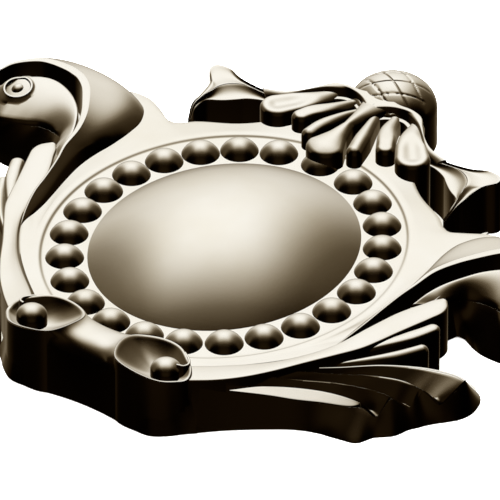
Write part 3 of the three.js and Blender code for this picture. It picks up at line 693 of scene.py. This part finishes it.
cone = {"centre": (0, 151.4), "radius": 22.6, "shoulder": -3, "cap": 16.6, "around": 120, "rings": 44,
        "groove": 0.5, "pitch": 9.2, "width": 0.45, "turns": (-56, 60), "reach": 0.88, "fade": 12}


def coneShell():
    # Half an ellipsoid on an upright drum, cut by two sets of straight grooves that cross in lozenges:
    # the groove's depth is a bell curve of the distance to the nearest line of its set, and fades out at
    # the reach.
    cx, cy = cone["centre"]
    lean = np.linspace(0, np.pi / 2, cone["rings"])
    reach = np.sin(lean)
    outline = ovalPoints(cone["radius"], cone["radius"], cone["around"], cone["centre"])
    top = roundFace((cx, cy, 0), outline, reach, cone["shoulder"] + cone["cap"] * np.cos(lean))
    x, y = top[..., 0] - cx, top[..., 1] - cy
    for turn in np.radians(cone["turns"]):
        off = ((x * np.cos(turn) + y * np.sin(turn)) / cone["pitch"] + 0.5) % 1 - 0.5
        cut = np.exp(-(off * cone["pitch"] / cone["width"]) ** 2)
        top[..., 2] -= cone["groove"] * cut * ease((cone["reach"] - reach) * cone["fade"])[:, None]
    return shellOf(top, ringed=True)


foot = {
    "outline": [(0, -121.4), (20, -122.4), (29, -124.6), (36, -125.7), (42.3, -124.9), (50, -119.6),
                (58, -110.5), (80, -90), (104, -76), (124.5, -71.5), (130.5, -64), (138.5, -56.5),
                (142, -49), (148, -39.5), (157, -28), (159, -12), (153, -1), (126, 1), (122, 12), (117, 24),
                (122, 32), (140, 38.5), (160, 45), (170, 51), (172, 58), (165, 75), (148, 85), (131, 87),
                (113, 84), (105, 86.5), (93, 81), (86, 76.5), (79, 79), (80, 92), (84, 114), (60, 116),
                (40, 126), (26, 141), (0, 150)],
    "level": -23.2,
    "steps": 170,
    "rings": (0, 0.5, 1),
}


def footShell():
    # The low foot that closes the outline on the back plane: rings from the middle out to the outline.
    right = smoothCurve(foot["outline"], foot["steps"])
    outline = np.vstack([right, (right * [-1, 1, 1])[-2:0:-1]])
    level = [foot["level"]] * len(foot["rings"])
    return shellOf(roundFace((0, 0, 0), outline, foot["rings"], level), ringed=True)


def meshFrom(name, shell):
    # A shell's triangles and its one flat base, as a mesh in metres.
    places, triangles, base = shell
    mesh = bpy.data.meshes.new(name)
    mesh.from_pydata((places * metre).tolist(), [], [*triangles.tolist(), base.tolist()])
    mesh.update()
    return bpy.data.objects.new(name, mesh)


def castTogether(name, shells):
    # The union of all shells is one closed casting, with no face left inside it.
    first = meshFrom(name, shells[0])
    bpy.context.scene.collection.objects.link(first)
    others = bpy.data.collections.new("forms")
    for n, shell in enumerate(shells[1:]):
        others.objects.link(meshFrom(f"form{n}", shell))
    bpy.context.scene.collection.children.link(others)
    union = first.modifiers.new("union", "BOOLEAN")
    union.operation = "UNION"
    union.operand_type = "COLLECTION"
    union.collection = others
    union.solver = "MANIFOLD"
    joined = bpy.data.meshes.new_from_object(first.evaluated_get(bpy.context.evaluated_depsgraph_get()))
    first.modifiers.clear()
    first.data = joined
    for form in list(others.objects):
        bpy.data.meshes.remove(form.data)
    bpy.data.collections.remove(others)
    dropFlaps(joined)
    return first


def dropFlaps(mesh):
    # Where two walls meet exactly, the union can leave a flap: two faces back to back that share all their
    # edges.
    work = bmesh.new()
    work.from_mesh(mesh)
    flaps = [face for face in work.faces
             if len({other.index for edge in face.edges for other in edge.link_faces}) == 2]
    bmesh.ops.delete(work, geom=flaps, context="FACES")
    work.to_mesh(mesh)
    work.free()


sharpFrom = 34  # degrees between two faces
shells = [footShell(), plateShell(), bossShell(), *beadShells(), *voluteShells(), *ribbonShells(),
          *foldShells(), *scrollShells(), saddleShell(), *crestShells(), coneShell()]
print("stage: forms worked out,", sum(len(shell[1]) for shell in shells), "triangles")
cartouche = castTogether("cartoucheCasting", shells)
cartouche.data.shade_smooth()
cartouche.data.set_sharp_from_angle(angle=math.radians(sharpFrom))
print("stage: casting joined,", sum(len(p.vertices) - 2 for p in cartouche.data.polygons), "triangles")

finish = {"colour": (0.94, 0.905, 0.82, 1), "shade": (0.9, 0.855, 0.745, 1), "roughness": (0.12, 0.17),
          "cloudScale": 24, "cloudDetail": 4, "shadeUpTo": 0.3, "colourFrom": 0.6, "grainScale": 900,
          "grainStrength": 0.04, "grainDepth": 0.0002}


def paleBronze():
    # Polished metal: a soft cloud shifts its colour and its polish a little, over a very fine grain.
    material = bpy.data.materials.new("paleBronze")
    material.use_nodes = True
    nodes, links = material.node_tree.nodes, material.node_tree.links
    shader = nodes["Principled BSDF"]
    shader.inputs["Metallic"].default_value = 1.0
    place = nodes.new("ShaderNodeTexCoord")
    cloud = nodes.new("ShaderNodeTexNoise")
    cloud.inputs["Scale"].default_value = finish["cloudScale"]
    cloud.inputs["Detail"].default_value = finish["cloudDetail"]
    links.new(place.outputs["Object"], cloud.inputs["Vector"])
    tint = nodes.new("ShaderNodeValToRGB")
    tint.color_ramp.elements[0].position = finish["shadeUpTo"]
    tint.color_ramp.elements[0].color = finish["shade"]
    tint.color_ramp.elements[1].position = finish["colourFrom"]
    tint.color_ramp.elements[1].color = finish["colour"]
    links.new(cloud.outputs["Fac"], tint.inputs["Fac"])
    links.new(tint.outputs["Color"], shader.inputs["Base Color"])
    polish = nodes.new("ShaderNodeMapRange")
    polish.inputs["To Min"].default_value, polish.inputs["To Max"].default_value = finish["roughness"]
    links.new(cloud.outputs["Fac"], polish.inputs["Value"])
    links.new(polish.outputs["Result"], shader.inputs["Roughness"])
    grain = nodes.new("ShaderNodeTexNoise")
    grain.inputs["Scale"].default_value = finish["grainScale"]
    links.new(place.outputs["Object"], grain.inputs["Vector"])
    relief = nodes.new("ShaderNodeBump")
    relief.inputs["Strength"].default_value = finish["grainStrength"]
    relief.inputs["Distance"].default_value = finish["grainDepth"]
    links.new(grain.outputs["Fac"], relief.inputs["Height"])
    links.new(relief.outputs["Normal"], shader.inputs["Normal"])
    return material


cartouche.data.materials.clear()
cartouche.data.materials.append(paleBronze())
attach(cartouche, "root")
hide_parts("cartouche")
# The picture's finish mirrors the studio alone, not the piece itself.
cartouche.visible_glossy = False
print("stage: finish laid on")

stand = {"size": 60.0, "level": -0.0004, "colour": (0.93, 0.93, 0.92, 1), "roughness": 0.9}


def floorPlane():
    # A white floor just under the piece, which the metal doesn't mirror.
    half, level = stand["size"] / 2, stand["level"]
    corners = [(-half, -half, level), (half, -half, level), (half, half, level), (-half, half, level)]
    mesh = bpy.data.meshes.new("floor")
    mesh.from_pydata(corners, [], [(0, 1, 2, 3)])
    plane = bpy.data.objects.new("floor", mesh)
    material = bpy.data.materials.new("floorWhite")
    material.use_nodes = True
    shader = material.node_tree.nodes["Principled BSDF"]
    shader.inputs["Base Color"].default_value = stand["colour"]
    shader.inputs["Roughness"].default_value = stand["roughness"]
    shader.inputs["Specular IOR Level"].default_value = 0.0
    mesh.materials.append(material)
    bpy.context.scene.collection.objects.link(plane)
    plane.visible_glossy = False


floorPlane()

# The camera looks down at 35.75 degrees, with the crest turned 55.55 degrees from the picture's right.
shot = {"azimuth": 34.45, "elevation": 35.75, "distance": 10.0, "pixel": 0.0005, "frame": 500,
        "ringAt": (222.9, 246.6), "ringLevel": 0.024, "sensor": 36, "farthest": 200}


def photoCamera():
    # Far off with a long lens, aimed so that the middle of the line of beads lands where the photo has it.
    azimuth, elevation = math.radians(shot["azimuth"]), math.radians(shot["elevation"])
    towards = Vector((math.sin(azimuth) * math.cos(elevation), -math.cos(azimuth) * math.cos(elevation),
                      math.sin(elevation)))
    right = Vector((math.cos(azimuth), math.sin(azimuth), 0))
    up = towards.cross(right)
    middle = shot["frame"] / 2
    aim = Vector((0, 0, shot["ringLevel"]))
    aim += right * (middle - shot["ringAt"][0]) * shot["pixel"]
    aim -= up * (middle - shot["ringAt"][1]) * shot["pixel"]
    data = bpy.data.cameras.new("camera")
    data.sensor_width = shot["sensor"]
    data.lens = data.sensor_width * shot["distance"] / (shot["frame"] * shot["pixel"])
    data.clip_end = shot["farthest"]
    camera = bpy.data.objects.new("camera", data)
    camera.location = aim + towards * shot["distance"]
    camera.rotation_euler = (-towards).to_track_quat("-Z", "Y").to_euler()
    bpy.context.scene.collection.objects.link(camera)
    bpy.context.scene.camera = camera
    return towards, right


towards, right = photoCamera()
away = Vector((-towards.x, -towards.y, 0)).normalized()

# A soft studio: one broad bright panel stands behind the piece, and its light fades over the top to a
# dark front.
studio = {
    # turn about the picture's level line, from the horizon behind (0) over the top (90) to the front (180)
    "turn": [(-180, 0.01), (-160, 0.003), (-75, 0.02), (-45, 0.12), (-33, 0.2), (-24, 0.34), (-16, 0.5),
             (-11, 0.62), (0, 0.76), (13, 0.87), (25, 0.95), (36, 1.0), (52, 1.0), (63, 0.92), (72, 0.76),
             (83, 0.46), (96, 0.13), (109, 0.03), (125, 0.008), (150, 0.012), (180, 0.01)],
    # share across the picture, from its left (-1) to its right (1)
    "across": [(-1, 0.05), (-0.8, 0.08), (-0.65, 0.16), (-0.55, 0.3), (-0.45, 0.58), (-0.35, 0.84),
               (-0.22, 0.97), (-0.1, 1.0), (0.05, 1.0), (0.15, 0.97), (0.25, 0.88), (0.35, 0.7),
               (0.45, 0.45), (0.55, 0.22), (0.65, 0.1), (0.8, 0.045), (1, 0.02)],
    # how much faster green and blue fade than red
    "warmth": (1.0, 1.12, 1.34),
    "strength": 1.02,
    "background": 1.1,
}


def rampOf(nodes, stops, low, high):
    # A ramp of grey stops, whose positions are shares of the way from low to high.
    ramp = nodes.new("ShaderNodeValToRGB")
    elements = ramp.color_ramp.elements
    while len(elements) < len(stops):
        elements.new(1.0)
    for element, (place, value) in zip(elements, stops):
        element.position = (place - low) / (high - low)
        element.color = (value, value, value, 1)
    return ramp


def mathNode(nodes, links, operation, *values):
    # One sum on numbers or on the outputs of other nodes.
    node = nodes.new("ShaderNodeMath")
    node.operation = operation
    for socket, value in zip(node.inputs, values):
        if isinstance(value, (int, float)):
            socket.default_value = value
        else:
            links.new(value, socket)
    return node.outputs[0]


def studioWorld():
    # Light = turn ramp * across ramp, raised to the warmth powers for red, green and blue. The camera sees
    # plain white in its place.
    world = bpy.data.worlds.new("studio")
    bpy.context.scene.world = world
    world.use_nodes = True
    nodes, links = world.node_tree.nodes, world.node_tree.links
    nodes.clear()
    place = nodes.new("ShaderNodeTexCoord")

    def share(direction):
        dot = nodes.new("ShaderNodeVectorMath")
        dot.operation = "DOT_PRODUCT"
        dot.inputs[1].default_value = direction
        links.new(place.outputs["Generated"], dot.inputs[0])
        return dot.outputs["Value"]

    turn = mathNode(nodes, links, "ARCTAN2", share(Vector((0, 0, 1))), share(away))
    turn = mathNode(nodes, links, "MULTIPLY_ADD", turn, 0.5 / math.pi, 0.5)
    across = mathNode(nodes, links, "MULTIPLY_ADD", share(right), 0.5, 0.5)
    turnRamp = rampOf(nodes, studio["turn"], -180, 180)
    acrossRamp = rampOf(nodes, studio["across"], -1, 1)
    links.new(turn, turnRamp.inputs["Fac"])
    links.new(across, acrossRamp.inputs["Fac"])
    light = mathNode(nodes, links, "MULTIPLY", turnRamp.outputs["Color"], acrossRamp.outputs["Color"])
    colour = nodes.new("ShaderNodeCombineColor")
    for socket, power in zip(colour.inputs, studio["warmth"]):
        links.new(mathNode(nodes, links, "POWER", light, power), socket)
    glow = nodes.new("ShaderNodeBackground")
    glow.inputs["Strength"].default_value = studio["strength"]
    links.new(colour.outputs[0], glow.inputs["Color"])
    plain = nodes.new("ShaderNodeBackground")
    plain.inputs["Color"].default_value = (1, 1, 1, 1)
    plain.inputs["Strength"].default_value = studio["background"]
    seen = nodes.new("ShaderNodeLightPath")
    pick = nodes.new("ShaderNodeMixShader")
    out = nodes.new("ShaderNodeOutputWorld")
    links.new(seen.outputs["Is Camera Ray"], pick.inputs["Fac"])
    links.new(glow.outputs[0], pick.inputs[1])
    links.new(plain.outputs[0], pick.inputs[2])
    links.new(pick.outputs[0], out.inputs["Surface"])


ceiling = {"size": 3.0, "energy": 260, "level": 2.2}


def ceilingLight():
    # A big soft light overhead whitens the floor; the metal doesn't mirror it.
    data = bpy.data.lights.new("ceiling", "AREA")
    data.shape = "DISK"
    data.size = ceiling["size"]
    data.energy = ceiling["energy"]
    lamp = bpy.data.objects.new("ceiling", data)
    lamp.location = (0, 0, ceiling["level"])
    lamp.visible_glossy = False
    bpy.context.scene.collection.objects.link(lamp)


studioWorld()
ceilingLight()
bpy.context.scene.view_settings.view_transform = "Standard"
print("stage: camera and lights set")
